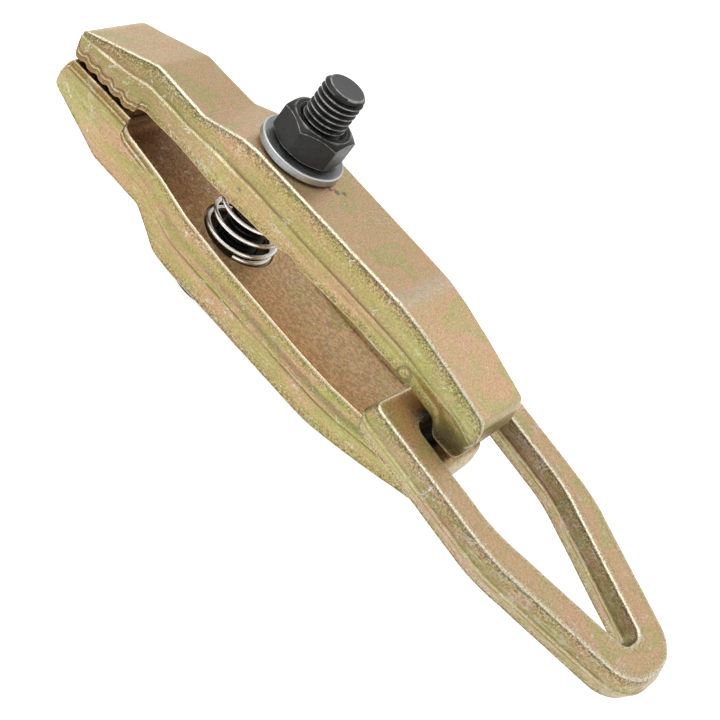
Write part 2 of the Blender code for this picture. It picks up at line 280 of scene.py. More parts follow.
def jaw_profile(back, parting, grip, half, bead, rim, shine, torn):
    """One side of a jaw's section, from the middle of its back to the middle of its inner face.
    The bead is the raised part of the parting line, from 0 to 1, and the rim is the height of
    the inner face's edge, painted bright by shine as a painted highlight, and torn from 0 to 1."""
    top = min(TOP_EDGE, 0.35 * (back - parting))
    low = min(LOW_EDGE, 0.3 * (parting - rim))
    wide = half + (back - parting) * DRAFT
    made = [Point(part * (half - top), back, edge=worn) for part, worn in BACK_POINTS]
    made += top_edge(half, back, top)
    # the flank down to the parting line, slightly hollow
    swell = 0.05 + 0.22 * bead
    reach = 0.45 + 0.55 * bead
    first = made[-1]
    run, fall = wide - 0.06 - swell - first.out, first.height - (parting + reach + 0.12)
    deep = min(0.3, 0.05 * fall) * (0.4 + 0.6 * bead)
    for step in range(1, 10):
        t = step / 9
        made.append(Point(first.out + run * t - deep * math.sin(math.pi * t),
                          first.height - fall * t,
                          band=max(0.0, 1.0 - fall * t / BAND_HEIGHT), flash=t**8))
    # the parting line, cut sharply above its bead and less so below it
    for t in (1.0, 0.66, 0.33, 0.0, -0.33, -0.66, -1.0):
        cut = 1.0 if t == 1.0 else (0.6 * (1 - bead) if t < -0.9 else 0.0)
        made.append(Point(wide - 0.06 - swell * t * t, parting + t * reach, flash=cut,
                          bead=bead * (1 - t * t)))
    # the flank from there to the torn flash
    room = min(1.0, 0.5 * (parting - rim - low) / TORN_HEIGHT)
    first = made[-1]
    run, rise = half + 0.06 - first.out, rim + low + TORN_HEIGHT * room - first.height
    for step in range(1, 8):
        t = step / 7
        made.append(Point(first.out + run * t + 0.08 * math.sin(2 * math.pi * t),
                          first.height + rise * t))
    for up, out, pitted, trim, raised in (
            (2.6, 0.07 - 0.15 * torn, 0.0, torn, 0.0),
            (2.1, 0.06, 0.3, 0.2 * torn, 0.0),
            (1.6, 0.05 + 0.12 * torn, 0.5, 0.0, 0.9 * torn),
            (1.1, 0.05, 0.65, 0.3 + 0.6 * torn, 0.0),
            (0.7, -0.1 * torn, 0.7, 0.5 + 0.5 * torn, 0.0)):
        made.append(Point(half + out * room, rim + low + up * room, band=pitted,
                          flash=min(1.0, trim), bead=raised))
    # the rim and the inner face: a painted dark reflection beside the rim, a painted highlight on
    # it
    made.append(Point(half, rim + low + 0.2 * room, band=0.9, under=0.5 * shine))
    for angle, lip, worn in RIM_SHINE:
        a = math.radians(angle)
        made.append(Point(half - low + low * math.cos(a), rim + low + low * math.sin(a),
                          edge=worn * shine, lip=lip))
    made.append(Point(half - low - 0.25, rim + 0.6 * (grip - rim), inner=0.6, lip=0.4))
    return made + [Point(part * (half - low - 0.4), grip, inner=1.0)
                   for part in (1.0, 0.92, 0.6, 0.3, 0.0)]


def marks_along_x(points, x, side, parting):
    """A section's points with their masks changed where the jaw looks different along X."""
    # a painted highlight along the sharp bend across the back
    crease = 0.5 * max(0.0, 1.0 - abs(x - CREASE_X) / CREASE_REACH)
    if crease:
        back = len(BACK_POINTS)
        points = [point._replace(edge=crease) for point in points[:back]] + points[back:]
    if side < 0:
        # smooth below the parting line near the nose, and only faintly trimmed
        plain = 0.25 + 0.75 * ramped(x, -45.0, 5.0)
        points = [point._replace(
            band=point.band * (plain if point.height > parting else 1.0),
            flash=point.flash * (plain if point.height > parting - 1.5 else 1.0))
            for point in points]
    if x < TOOTH_START - 0.3:
        points = [point._replace(inner=0.0, lip=0.0, under=0.0) for point in points]
    return points


def stations_of(*lines):
    """Where the sections of a jaw stand: at each corner of its lines, and closer at its ends."""
    nose, tail = lines[0][0].x, lines[0][-1].x
    wanted = sorted([point.x for line in lines for point in line]
                    + [nose + STATION_STEP * k
                       for k in range(1, int((tail - nose) / STATION_STEP))]
                    + [end + sign * step for end, sign in ((nose, 1), (tail, -1))
                       for step in END_STEPS])
    stations = [wanted[0]]
    for x in wanted[1:-1]:
        if x - stations[-1] > LEAST_STEP and tail - x > LEAST_STEP:
            stations.append(x)
    return stations + [tail]


def cap(form, row):
    """Closes a jaw's end with quads between the two sides of its section."""
    count, middle = len(row), len(row) // 2
    form.faces.new((row[0], row[1], row[-1]))
    for i in range(1, middle - 1):
        form.faces.new((row[i], row[i + 1], row[count - i - 1], row[count - i]))
    form.faces.new((row[middle - 1], row[middle], row[middle + 1]))


def jaw(name, side):
    """The upper jaw (side 1) or the lower jaw (side -1)."""
    back_line = eased(BACK_LINE if side > 0 else LOWER_BACK_LINE, BACK_EASE)
    grip_line = gripping_line(THROAT_LINE if side > 0 else LOWER_THROAT_LINE)
    parting_line, width_line = eased(PARTING_LINE, PARTING_EASE), eased(HALF_WIDTH, WIDTH_EASE)
    nose, tail = back_line[0].x, back_line[-1].x
    form, rows, masks = bmesh.new(), [], []
    for x in stations_of(back_line, grip_line, parting_line, width_line):
        depth = min(END_ROUND, max(0.0, END_ROUND - min(x - nose, tail - x)))
        half = value_at(width_line, x)
        half -= END_ROUND - math.sqrt(END_ROUND**2 - depth**2)
        parting, grip = value_at(parting_line, x), value_at(grip_line, x)
        # beside the teeth, the trimmed rim stands level on the lower jaw and half filled above
        toothed = TOOTH_START < x < THROAT_LINE[0][0]
        fill = 1.0 if side < 0 else 0.5
        rim = grip - fill * max(0.0, grip - TOOTH_TIP) if toothed else grip
        bead = max(0.12, ramped(x, 26.0, -8.0))
        bead *= (0.75 if side > 0 else 0.12) + 0.5 * noise.noise((x * 0.12, side * 5.0, 0.0))
        raised = RAISED * min(ramped(x, 19.0, 27.0), ramped(x, 74.0, 66.0))
        # the painted highlight on the inner face's rim: full on the lower jaw, faint near the upper
        # jaw's tail
        shine = 1.0 if side < 0 else 0.3 * ramped(x, 84.0, 78.0)
        torn = ramped(x, TORN_FROM[side], TORN_FROM[side] - TORN_LENGTH)
        near, far = (marks_along_x(jaw_profile(value_at(back_line, x), parting, grip, half,
                                            min(1.0, bead), level, shine, torn), x, side, parting)
                     for level in (rim, rim - (raised if side < 0 else 0.3 * raised)))
        around = [point._replace(out=-point.out) for point in near] + far[-2:0:-1]
        rows.append([form.verts.new((x, point.out, side * point.height)) for point in around])
        masks += [point[2:] for point in around]
    skin(form, rows, closed_rows=False)
    cap(form, rows[0])
    cap(form, rows[-1])
    obj = finish_mesh(name, form, masks, lumps=LUMPS)
    carve(obj, cylinder(JAW_HOLE[side], *sorted((0.0, side * THROUGH))))
    carve(obj, turned([(0.0, -side * 5.0), (SEAT_RADIUS, -side * 5.0),
                       (SEAT_RADIUS, side * (SEAT_HEIGHT - SEAT_EASE)),
                       (SEAT_RADIUS - SEAT_EASE, side * SEAT_HEIGHT), (0.0, side * SEAT_HEIGHT)],
                      72, True))
    if side < 0:
        reach = (ACROSS_FLATS / 2 + GAP) / math.cos(math.pi / 6)
        carve(obj, cylinder(reach, -THROUGH, HEAD_HEIGHT + GAP - MID_Z / MM, 6))
    else:
        carve_punch_mark(obj)
    obj.data.transform(Matrix.Translation((0.0, 0.0, MID_Z)))
    shade(obj, 35)
    return obj


def carve_punch_mark(obj):
    """A shallow ring stamped into the near side, with a raised middle."""
    form = turned([(1.7, 0.0), (1.95, -0.4), (2.3, -0.4), (2.6, 0.0), (2.6, 2.0), (1.7, 2.0)], 48)
    # the mark faces along -Y, on the drafted face below the parting line
    width, back, parting, grip = (
        value_at(eased(line, reach), PUNCH_X) for line, reach in
        ((HALF_WIDTH, WIDTH_EASE), (BACK_LINE, 3.0), (PARTING_LINE, PARTING_EASE),
         (THROAT_LINE, THROAT_EASE)))
    drop = (parting - PUNCH_HEIGHT) / (parting - grip)
    bulge = (back - parting) * DRAFT
    lean = math.atan2(bulge, parting - grip)
    form.transform(Matrix.Translation((PUNCH_X, -(width + bulge * (1 - drop)), PUNCH_HEIGHT))
                   @ Matrix.Rotation(math.radians(90) + lean, 4, "X"))
    carve(obj, form)


# ---------------------------------------------------------------------- ring
def rounded_outline(half):
    """(point, outward direction) pairs round a symmetric polygon with rounded corners. Straight
    runs are divided by arc length, in step with every other outline of the same corners."""
    corners = half + [(x, -y, radius) for x, y, radius in reversed(half)]
    arcs = []
    for i, (x, y, radius) in enumerate(corners):
        corner, after = Vector((x, y)), corners[(i + 1) % len(corners)]
        into = (Vector(corners[i - 1][:2]) - corner).normalized()
        out = (Vector(after[:2]) - corner).normalized()
        bend = into.angle(out) / 2
        centre = corner + (into + out).normalized() * (radius / math.sin(bend))
        start = corner + into * (radius / math.tan(bend)) - centre
        sweep = start.angle_signed(corner + out * (radius / math.tan(bend)) - centre)
        arcs.append([(centre + spoke, spoke.normalized()) for spoke in
                     (Matrix.Rotation(-sweep * step / CORNER_STEPS, 2) @ start
                      for step in range(CORNER_STEPS + 1))])
    made = []
    for i, arc in enumerate(arcs):
        made += arc
        (here, away), (there, _) = arc[-1], arcs[(i + 1) % len(arcs)][0]
        for k in range(1, RING_SPACING[i]):
            made.append((here.lerp(there, k / RING_SPACING[i]), away))
    return made


def ring_side():
    """One side of the ring's section, from its upper face to its lower face. A point's distance
    out is measured from the edge of the flat face."""
    middle = RING_THICK / 2
    side = top_edge(0.0, 0.0, RING_EDGE)
    start, end = side[-1], (RING_BULGE - 0.1, 0.75 - middle)
    for step in range(1, 7):
        t = step / 6
        side.append(Point(start.out + (end[0] - start.out) * t - 0.06 * math.sin(math.pi * t),
                          start.height + (end[1] - start.height) * t,
                          band=0.8 * (1.0 - t), flash=t**6))
    lower = [point._replace(height=-RING_THICK - point.height) for point in side]
    for t in (0.8, 0.4, 0.0, -0.4, -0.8):
        side.append(Point(RING_BULGE + 0.05 - 0.15 * t * t, 0.6 * t - middle,
                          bead=0.5 * (1 - t * t)))
    return side + lower[::-1]


def pull_ring():
    """Closed forged ring: straight crossbar, two legs and a tight bight."""
    side = ring_side()
    form, rows, masks = bmesh.new(), [], []
    for (outer, out), (inner, away) in zip(rounded_outline(RING_OUTSIDE),
                                           rounded_outline(RING_INSIDE)):
        flat = [(outer - out * RING_EDGE).lerp(inner + away * RING_EDGE, t)
                for t in (0.25, 0.5, 0.75)]
        # the inside of the crossbar counts as an inner face below its upper edge
        # so it takes the inner faces' painted shade
        shut = inner.x < RING_INSIDE[0][0] + 2.5
        ring = [(*(outer + out * point.out), *point[1:]) for point in side]
        ring += [(*point, -RING_THICK) for point in flat]
        ring += [(*(inner - away * point.out), *point._replace(
            inner=1.0 if shut and point.height < -0.8 else 0.0)[1:]) for point in reversed(side)]
        ring += [(*point, 0.0) for point in reversed(flat)]
        rows.append([form.verts.new(point[:3]) for point in ring])
        masks += [point[3:] for point in ring]
    skin(form, rows)
    obj = finish_mesh("ring_forging", form, masks, lumps=LUMPS)
    place = RING_PLACE * MM + Vector((0, 0, MID_Z))
    turn = Matrix.Rotation(RING_TURN[2], 4, "Z") @ Matrix.Rotation(RING_TURN[1], 4, "Y")
    obj.data.transform(Matrix.Translation(place) @ turn @ Matrix.Rotation(RING_TURN[0], 4, "X"))
    return obj


# ------------------------------------------------------------------ hardware
def heights(node):
    """The lowest and highest Z of a CAD node."""
    return (corner.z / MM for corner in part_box(node))


def hexagon_reach(angle, turn):
    """Distance from the axis to the side of the hexagon, with its corners slightly broken."""
    within = (angle - turn) % (math.pi / 3) - math.pi / 6
    return min(ACROSS_FLATS / 2 / math.cos(within), ACROSS_FLATS / 2 * HEX_CORNER)


def hex_solid(profile, roles, turn, on_axis=False):
    """A turned blank whose hexagon points follow the flats. Their roles are (end, slide, shrink):
    end 1 or -1 is the top or bottom, slide is the distance from that end's chamfer, or None
    where there is no chamfer, and shrink is the distance inside the flats."""
    ends = {role[0]: z for (_, z), role in zip(profile, roles) if role}

    def shape(angle, i, radius, z):
        if not roles[i]:
            return radius, z
        end, slide, shrink = roles[i]
        reach = hexagon_reach(angle, turn)
        rise = (reach - HEX_FACE) * HEX_CHAMFER if slide is not None else 0.0
        return reach - shrink, ends[end] - end * (rise + (slide or 0.0))

    return turned(profile, 120, on_axis, shape, turn)


def hex_nut():
    low, high = heights("hex_nut")
    bore = NUT_BORE
    profile = [(bore, low + 0.9), (bore + 0.9, low), (HEX_FACE, low), (0.0, low), (0.0, low),
               (0.0, low), (0.0, high), (0.0, high), (0.0, high), (HEX_FACE, high),
               (HEX_FACE - 0.2, high), (bore + 1.3, high), (bore + 1.1, high), (bore, high - 0.9)]
    roles = [None, None, None, (-1, -0.19, 0.3), (-1, 0.0, 0.0), (-1, 0.3, 0.0), (1, 0.3, 0.0),
             (1, 0.0, 0.0), (1, -0.19, 0.3), None, None, None, None, None]
    form = hex_solid(profile, roles, NUT_TURN)
    return finish_mesh("nut_black_oxide", form,
                       profile_wear_and_shine(form, profile, {4: 1.0, 7: 1.0, 9: 0.8, 12: 0.7}), sharp=25)


def profile_wear_and_shine(form, profile, worn):
    """Edge masks of a turned form, by the number of a point in its profile."""
    return [(worn.get(i % len(profile), 0.0),) for i in range(len(form.verts))]


def thread_radius(phase):
    """Radius of the thread at a phase from 0 to 1 along one pitch: root, flank, crest, flank."""
    points = ((0.0, MINOR), (0.1, MINOR), (0.46, MAJOR), (0.58, MAJOR), (0.94, MINOR), (1.0, MINOR))
    for (a, r0), (b, r1) in zip(points, points[1:]):
        if phase <= b:
            return r0 + (r1 - r0) * (phase - a) / (b - a)
    return MINOR


def bolt_head():
    head = [(0.0, 0.25), (6.0, 0.25), (6.4, 0.0), (HEX_FACE - 0.3, 0.0), (0.0, 0.0), (0.0, 0.0),
            (0.0, HEAD_HEIGHT), (0.0, HEAD_HEIGHT), (7.6, HEAD_HEIGHT), (7.0, HEAD_HEIGHT + 0.6),
            (6.9, HEAD_HEIGHT + 1.5), (0.0, HEAD_HEIGHT + 1.5)]
    roles = [None] * 4 + [(-1, -0.12, 0.3), (-1, 0.25, 0.0), (1, None, 0.0), (1, None, 0.3)]
    form = hex_solid(head, roles + [None] * 4, 0.0, on_axis=True)
    worn = []
    for vert in form.verts:
        x, y, _ = vert.co
        corner = hexagon_reach(math.atan2(y, x), 0.0) > ACROSS_FLATS / 2 * HEX_WORN
        worn.append((1.0 if corner and math.hypot(x, y) > HEX_FACE + 0.2 else 0.0,))
    return finish_mesh("bolt_head", form, worn, sharp=25)


def bolt_thread():
    """A helical thread up to the chamfered tip, worn on its crests and round the tip."""
    low, high = heights("clamp_bolt")
    obj = finish_mesh("bolt_thread", helical_thread(low + 5.0, high + 2.0), sharp=50)
    base = low + HEAD_HEIGHT + 1.3
    blank = [(0.0, base), (7.2, base), (7.2, high - TIP_CHAMFER - 0.5), (5.9, high - 0.15),
             (5.6, high), (5.2, high), (3.0, high - 0.12), (0.0, high - 0.15)]
    carve(obj, turned(blank, 96, True), "INTERSECT")
    shade(obj, 30)
    worn = []
    for vert in obj.data.vertices:
        radius = math.hypot(vert.co.x, vert.co.y) / MM
        tip = vert.co.z / MM > high - 0.2 and radius > 5.4
        worn.append(1.0 if radius > MAJOR - 0.02 or tip else 0.0)
    obj.data.attributes.new("edge", "FLOAT", "POINT").data.foreach_set("value", worn)
    return obj


def helical_thread(low, high, sides=64):
    """A right-hand thread as one helical strip, wound past both ends and closed there."""
    phases = (0.0, 0.1, 0.22, 0.34, 0.46, 0.58, 0.70, 0.82, 0.94)
    step, turns = len(phases), math.ceil((high - low) / PITCH)
    form, rows = bmesh.new(), []
    for k in range(sides):
        angle = 2 * math.pi * k / sides
        rows.append([form.verts.new((thread_radius(phase) * math.cos(angle),
                                     thread_radius(phase) * math.sin(angle),
                                     low + PITCH * (turn + phase + k / sides)))
                     for turn in range(turns) for phase in phases])
    skin(form, rows, closed_rows=False, closed_rings=False)
    # the strip joins itself one pitch further on
    first, last = rows[0], rows[-1]
    for i in range(len(last) - 1 - step):
        form.faces.new((last[i], last[i + 1], first[i + 1 + step], first[i + step]))
    bottom = [row[0] for row in rows] + first[step:0:-1]
    top = [row[-1] for row in rows] + last[-2:-2 - step:-1]
    for loop, z in ((bottom, low - PITCH), (top, high + 2 * PITCH)):
        middle = form.verts.new((0.0, 0.0, z))
        for i, vert in enumerate(loop):
            form.faces.new((vert, loop[(i + 1) % len(loop)], middle))
    return form


def flat_washer():
    low, high = heights("flat_washer")
    profile = [(7.6, low + 0.3), (7.9, low), (13.7, low), (14.0, low + 0.25), (14.0, high - 0.4),
               (13.95, high - 0.2), (13.8, high - 0.05), (13.6, high), (13.3, high), (8.0, high),
               (7.6, high - 0.3)]
    form = turned(profile, 128)
    return finish_mesh("washer_bright_zinc", form,
                       profile_wear_and_shine(form, profile, {5: 1.0, 6: 1.0, 7: 1.0}), sharp=40)


def spring_height(turn):
    """Height of the wire's middle above its start. The first and last turns are closed."""
    travel = 2 * (SEAT_HEIGHT - WIRE - GAP)
    middle = (travel - 2 * END_RISE) / (SPRING_TURNS - 2)
    if turn < 1:
        return END_RISE * turn * turn
    if turn > SPRING_TURNS - 1:
        return travel - END_RISE * (SPRING_TURNS - turn) ** 2
    return END_RISE + middle * (turn - 1)


def return_spring():
    low = MID_Z / MM - SEAT_HEIGHT + WIRE + GAP
    steps = round(SPRING_TURNS * TURN_STEPS)
    form, rows = bmesh.new(), []
    for step in range(steps + 1):
        turn = SPRING_TURNS * step / steps
        angle = SPRING_START + 2 * math.pi * turn
        out = Vector((math.cos(angle), math.sin(angle), 0.0))
        centre = out * SPRING_RADIUS + Vector((0.0, 0.0, low + spring_height(turn)))
        rows.append([form.verts.new(centre + out * (WIRE * math.cos(a))
                                    + Vector((0.0, 0.0, WIRE * math.sin(a))))
                     for a in (2 * math.pi * k / WIRE_SIDES for k in range(WIRE_SIDES))])
    skin(form, rows, closed_rows=False)
    form.faces.new(rows[0])
    form.faces.new(rows[-1])
    return finish_mesh("spring_wire", form, sharp=50)


# ----------------------------------------------------------------- materials
class Nodes:
    """Adds nodes to a shader tree. An input is a number, a colour or the socket it comes from,
    and each short method gives back the socket of its result."""

    def __init__(self, tree):
        self.tree = tree

    def add(self, kind, inputs, **settings):
        made = self.tree.nodes.new("ShaderNode" + kind)
        for key, value in settings.items():
            setattr(made, key, value)
        for key, value in inputs.items():
            self.put(made.inputs[key], value)
        return made

    def put(self, socket, value):
        if isinstance(value, bpy.types.NodeSocket):
            self.tree.links.new(value, socket)
        else:
            socket.default_value = (*value, 1.0) if socket.type == "RGBA" else value

    def mix(self, factor, a, b, blend="MIX"):
        return self.add("Mix", {0: factor, 6: a, 7: b}, data_type="RGBA",
                        blend_type=blend).outputs[2]

    def maths(self, operation, *values):
        return self.add("Math", dict(enumerate(values)), operation=operation).outputs[0]

    def times(self, first, *others):
        for other in others:
            first = self.maths("MULTIPLY", first, other)
        return first

    def plus(self, first, *others):
        for other in others:
            first = self.maths("ADD", first, other)
        return first

    def absolute(self, value):
        return self.maths("ABSOLUTE", value)

    def maximum(self, a, b):
        return self.maths("MAXIMUM", a, b)

    def vector(self, operation, *values):
        return self.add("VectorMath", dict(enumerate(values)), operation=operation)

    def noise(self, where, scale, detail=3.0, rough=0.55, warp=0.0):
        return self.add("TexNoise", {"Vector": where, "Scale": scale, "Detail": detail,
                                     "Roughness": rough, "Distortion": warp}).outputs["Fac"]

    def ramp(self, factor, *stops):
        """A colour ramp: stops are (position, colour)."""
        made = self.add("ValToRGB", {"Fac": factor})
        while len(made.color_ramp.elements) < len(stops):
            made.color_ramp.elements.new(1.0)
        for element, (position, colour) in zip(made.color_ramp.elements, stops):
            element.position = position
            element.color = (*colour, 1.0)
        return made.outputs["Color"]

    def rise(self, value, low, high, least=0.0, most=1.0):
        """Smoothly from the least to the most, as the value goes from low to high."""
        return self.add("MapRange", {"Value": value, "From Min": low, "From Max": high,
                                     "To Min": least, "To Max": most},
                        interpolation_type="SMOOTHSTEP").outputs["Result"]

    def fall(self, value, low, high, most=1.0, least=0.0):
        return self.rise(value, low, high, most, least)

    def between(self, value, a, b, c, d):
        """Rises from a to b, and falls from c to d."""
        return self.times(self.rise(value, a, b), self.fall(value, c, d))

    def mask(self, name):
        return self.add("Attribute", {}, attribute_name=name).outputs["Fac"]

    def bump(self, height, strength, distance, under=None):
        inputs = {"Height": height, "Strength": strength, "Distance": distance * MM}
        if under:
            inputs["Normal"] = under
        return self.add("Bump", inputs).outputs["Normal"]


class Material(Nodes):
    """A new material, with the object's own coordinates in millimetres. Each coat of paint or
    tint covers as much as its factors, multiplied together."""

    def __init__(self, name, metallic):
        self.made = bpy.data.materials.new(name)
        self.made.use_nodes = True
        super().__init__(self.made.node_tree)
        self.shader = self.tree.nodes["Principled BSDF"]
        self.shader.inputs["Metallic"].default_value = metallic
        self.place = self.add("TexCoord", {})
        self.mm = self.add("VectorMath", {0: self.place.outputs["Object"], "Scale": 1 / MM},
                           operation="SCALE").outputs[0]
        self.x, self.y, self.z = self.add("SeparateXYZ", {0: self.mm}).outputs

    def stretched(self, scales):
        return self.vector("MULTIPLY", self.mm, scales).outputs[0]

    def base(self, colour):
        self.colour = colour

    def paint(self, over, *factors):
        self.colour = self.mix(self.times(*factors), self.colour, over)

    def tint(self, by, *factors):
        self.colour = self.mix(self.times(*factors), self.colour, by, "MULTIPLY")

    def spot(self, centre, radius, soft):
        """1 inside a ball round the centre, in millimetres, falling to 0 over the soft distance."""
        away = self.vector("DISTANCE", self.mm, centre).outputs["Value"]
        ragged = self.maths("MULTIPLY_ADD", self.noise(self.mm, 0.9), 1.4, -0.7)
        return self.fall(self.plus(away, ragged), radius, radius + soft)

    def finish(self, roughness, normal):
        self.put(self.shader.inputs["Base Color"], self.colour)
        self.put(self.shader.inputs["Roughness"], roughness)
        self.put(self.shader.inputs["Normal"], normal)
        return self.made


class ForgedPlating(Material):
    """Yellow-chromated zinc over a forging: drifting gold, salmon and green, a dark band under the
    edges (pitted, and a painted dark reflection), edges painted bright as a highlight with some
    wear, a dark trim line, pale scuffs, and painted shade in the throat and round the crossbar."""

    def __init__(self):
        super().__init__("yellow_zinc_forging", 0.95)
        upright = self.add("SeparateXYZ", {0: self.place.outputs["Normal"]}).outputs["Z"]
        self.level = self.rise(self.absolute(upright), 0.35, 0.95)
        self.side = self.maths("SUBTRACT", 1.0, self.level)
        self.across = self.absolute(self.y)
        self.along = self.stretched((0.3, 1.0, 1.0))
        self.fibre = self.stretched((0.12, 0.8, 1.4))
        self.streak = self.noise(self.along, 0.105, 2.0, 0.45, 0.5)
        self.grain = self.noise(self.mm, 1.7, 4.0, 0.7)
        self.sand = self.noise(self.mm, 1.5, 3.0, 0.75)
        self.inner, self.band, self.edge = (self.mask(name) for name in ("inner", "band", "edge"))

    def plate(self):
        """Flats and side faces, the side faces darker and greener: partly the plating's own tone
        and partly painted shade. With the small differences along the jaws and the ring.
        """
        drift = self.noise(self.mm, 0.05, 2.0, 0.45, 0.6)
        flats = self.ramp(drift, (0.30, (0.64, 0.53, 0.28)), (0.40, (0.72, 0.51, 0.31)),
                          (0.48, (0.68, 0.52, 0.29)), (0.55, (0.76, 0.50, 0.32)),
                          (0.63, (0.60, 0.53, 0.25)), (0.72, (0.72, 0.51, 0.31)))
        # the side faces' colours: a darker, greener copy of the flats', partly own tone, partly
        # painted shade
        shaded_flanks = self.ramp(self.streak, (0.26, (0.50, 0.34, 0.215)), (0.36, (0.44, 0.34, 0.175)),
                           (0.46, (0.40, 0.36, 0.15)), (0.54, (0.44, 0.345, 0.17)),
                           (0.63, (0.51, 0.34, 0.215)), (0.70, (0.40, 0.36, 0.15)))
        self.base(self.mix(self.level, shaded_flanks, flats))
        grains = self.ramp(self.grain, (0.3, (0.64, 0.60, 0.52)), (0.7, (1.32, 1.30, 1.26)))
        self.tint(grains, 0.85)
        upper_nose = self.times(self.fall(self.x, -50.0, -8.0), self.rise(self.z, 28.0, 34.0))
        self.tint((0.72, 0.76, 0.70), self.side, upper_nose)
        lower_nose = self.times(self.fall(self.x, -60.0, -45.0), self.fall(self.z, 26.0, 30.0))
        self.tint((1.0, 1.09, 1.12), self.side, lower_nose)
        self.tint((0.965, 1.08, 1.0), self.side, self.between(self.x, 45.0, 60.0, 96.0, 101.0))
        self.tint((0.88, 0.88, 0.89), self.rise(self.x, 96.0, 102.0))
        fine_lines = self.ramp(self.noise(self.fibre, 1.0, 3.0, 0.6),
                               (0.35, (0.70, 0.66, 0.58)), (0.65, (1.2, 1.18, 1.14)))
        self.tint(fine_lines, self.side, 0.28)

    def throat(self):
        """Inner faces in a sandy brown that is mostly painted shade and colour bleed, darker
        towards the teeth; near-black painted shade between the teeth (with some soiling there),
        round the spring and by the crossbar; painted shade on the upper jaw's tail and round the
        crossbar.
        """
        # the inner faces' brown: painted shade and colour bleed from the facing jaw, over their own
        # sandy grain
        bronze_shade = self.ramp(self.sand, (0.34, (0.17, 0.085, 0.035)), (0.66, (0.66, 0.43, 0.20)))
        self.paint(bronze_shade, self.inner, self.fall(self.x, -40.0, 35.0, 0.95, 0.3))
        # painted shade, deepening towards the teeth
        self.paint((0.12, 0.05, 0.02), self.inner, self.fall(self.x, -45.0, -5.0, 0.5))
        pebbles = self.ramp(self.noise(self.mm, 0.8, 2.0, 0.6),
                            (0.42, (0.66, 0.60, 0.54)), (0.58, (1.36, 1.32, 1.26)))
        self.tint(pebbles, self.inner, 0.5)
        flat = self.stretched((1.0, 1.0, 0.0))
        reach = self.vector("LENGTH", flat).outputs["Value"]  # from the bolt's axis
        by_spring = self.fall(reach, 11.4, 12.8)
        by_teeth = self.fall(self.x, -49.0, -44.0, 0.68)
        by_crossbar = self.times(self.rise(self.x, 79.0, 83.0, 0.0, 0.97),
                                 self.fall(self.x, 90.0, 93.0))
        where = self.plus(by_teeth, by_crossbar, self.times(by_spring, 0.88))
        inside = self.maximum(self.rise(self.inner, 0.2, 0.6),
                              self.times(self.fall(self.z, 40.0, 43.0), by_spring))
        self.shade_and_grime = self.times(inside, where)
        # near-black painted shade inside the spring, by the crossbar and between the teeth, where
        # some soiling adds to it
        self.paint((0.025, 0.014, 0.008), self.shade_and_grime)
        # painted shade on the lower part of the upper jaw's tail, beside the lip and the ring
        tail = self.times(self.between(self.x, 83.0, 92.0, 99.8, 100.8),
                          self.fall(self.across, 16.2, 17.0),
                          self.between(self.z, 30.0, 33.0, 37.0, 45.0))
        self.paint((0.10, 0.07, 0.025), tail, 0.8)
        # a cooler, darker painted shade round the crossbar, where the upper jaw shades it
        crossbar = self.times(self.between(self.x, 61.0, 64.0, 83.0, 86.0),
                              self.fall(self.across, 15.0, 16.5),
                              self.between(self.z, 24.0, 25.0, 40.5, 41.5))
        self.tint((0.82, 0.86, 0.90), crossbar)

    def forging_marks(self):
        """The band below the edges, pitted and painted darker as a dark reflection, with painted
        glints;
        and the trimmed parting line, dark where it is cut and bright where it stands up, a painted
        highlight with some wear."""
        # the band darkens towards its edge: rough pitted plating and a painted dark reflection
        self.paint((0.26, 0.19, 0.075), self.band, self.band, 0.5)
        banded = self.rise(self.band, 0.1, 0.9)
        self.pits_and_dark_reflection = self.times(banded, self.fall(self.grain, 0.40, 0.50))
        self.paint((0.12, 0.085, 0.035), self.pits_and_dark_reflection, 0.6)
        # painted glints: bright specks over the band, a painted highlight
        self.paint((0.80, 0.72, 0.42), banded, self.rise(self.grain, 0.55, 0.64), 0.5)
        self.paint((0.13, 0.09, 0.04), self.rise(self.mask("flash"), 0.2, 1.0),
                   self.rise(self.streak, 0.35, 0.55, 0.35), 0.75)
        # the bead painted bright: a painted highlight along the raised parting line, with some wear
        self.paint((0.90, 0.82, 0.54), self.rise(self.mask("bead"), 0.25, 0.95),
                   self.rise(self.grain, 0.36, 0.52), 0.75)

    def scuffs(self):
        """Outlines of torn flash, pale scuffs, and a silvery painted sheen, partly worn plating,
        across the bend of the back and on the upper jaw's side by the saddle."""
        fold = self.noise(self.along, 0.20, 3.0, 0.5, 1.4)
        outline = self.fall(self.absolute(self.maths("SUBTRACT", fold, 0.5)), 0.0, 0.014, 0.8)
        self.paint((0.62, 0.61, 0.54), outline, self.side,
                   self.rise(self.noise(self.mm, 0.05, 2.0), 0.52, 0.58), 0.7)
        rubs_and_sheen = self.times(self.rise(self.noise(self.mm, 0.17, 6.0, 0.72, 1.2), 0.585, 0.66),
                          self.rise(self.grain, 0.42, 0.58))
        legs = self.times(self.side, self.rise(self.x, 78.0, 110.0),
                          self.rise(self.noise(self.fibre, 0.8, 5.0, 0.8), 0.50, 0.58), 0.35)
